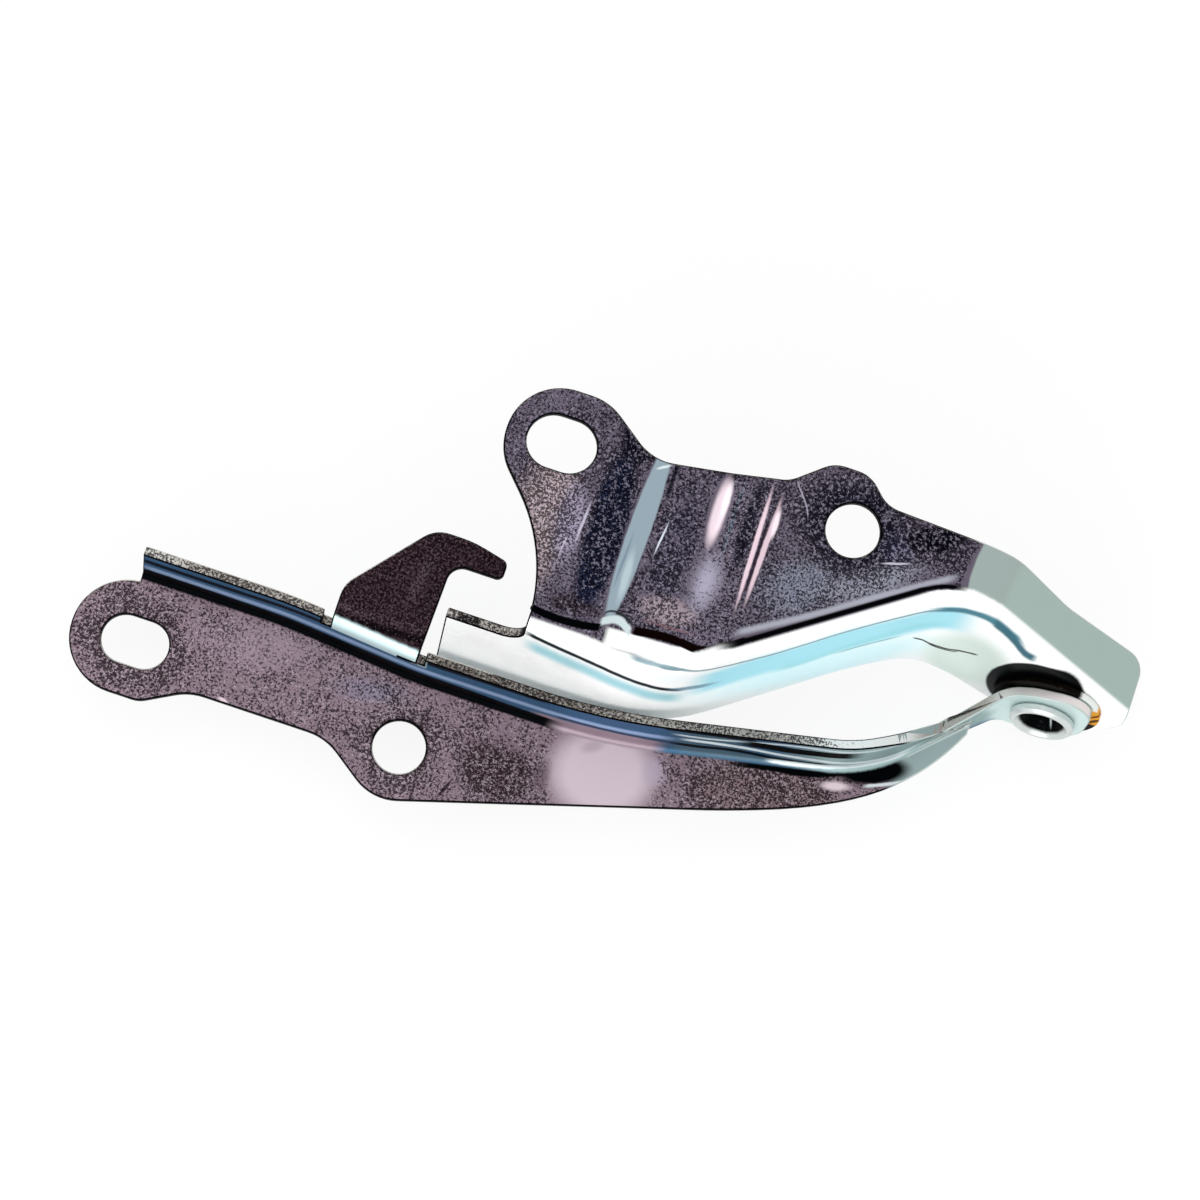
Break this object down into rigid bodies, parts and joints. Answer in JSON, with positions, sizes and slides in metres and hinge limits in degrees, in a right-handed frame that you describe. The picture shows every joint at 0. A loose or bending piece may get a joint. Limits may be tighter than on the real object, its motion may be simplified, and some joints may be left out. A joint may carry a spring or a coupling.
{
  "type": "hood hinge",
  "caption": "Pressed steel hood hinge: an angle bracket with a hook, and an angle arm that swings on a flared rivet.",
  "frame": {"origin": "centre of the bracket's round bolt hole, on the bracket's mounting face", "axes": "+X along the hinge towards the pivot, +Y from the bracket's flat towards the arm's flat, +Z square to both bolting flats, from the bracket up to the arm"},
  "size_m": [0.2317, 0.0971, 0.0507],
  "materials": {
    "zinc_plate": "bright zinc plating, faintly mottled",
    "zinc_rivet": "bright zinc plating",
    "bronze_bush": "satin"
  },
  "bodies": {
    "bracket": {"body_bracket": "zinc_plate", "pivot_rivet": "zinc_rivet", "rivet_washer": "zinc_rivet"},
    "arm": {"hood_arm": "zinc_plate", "pivot_bush": "bronze_bush"}
  },
  "joints": [
    {"name": "hood_pivot", "type": "hinge", "parent": "bracket", "child": "arm", "pos_m": [0.1352, 0.0526, 0.0039], "axis": [0, 0.9703, -0.2419], "range_deg": [0, 55]}
  ]
}
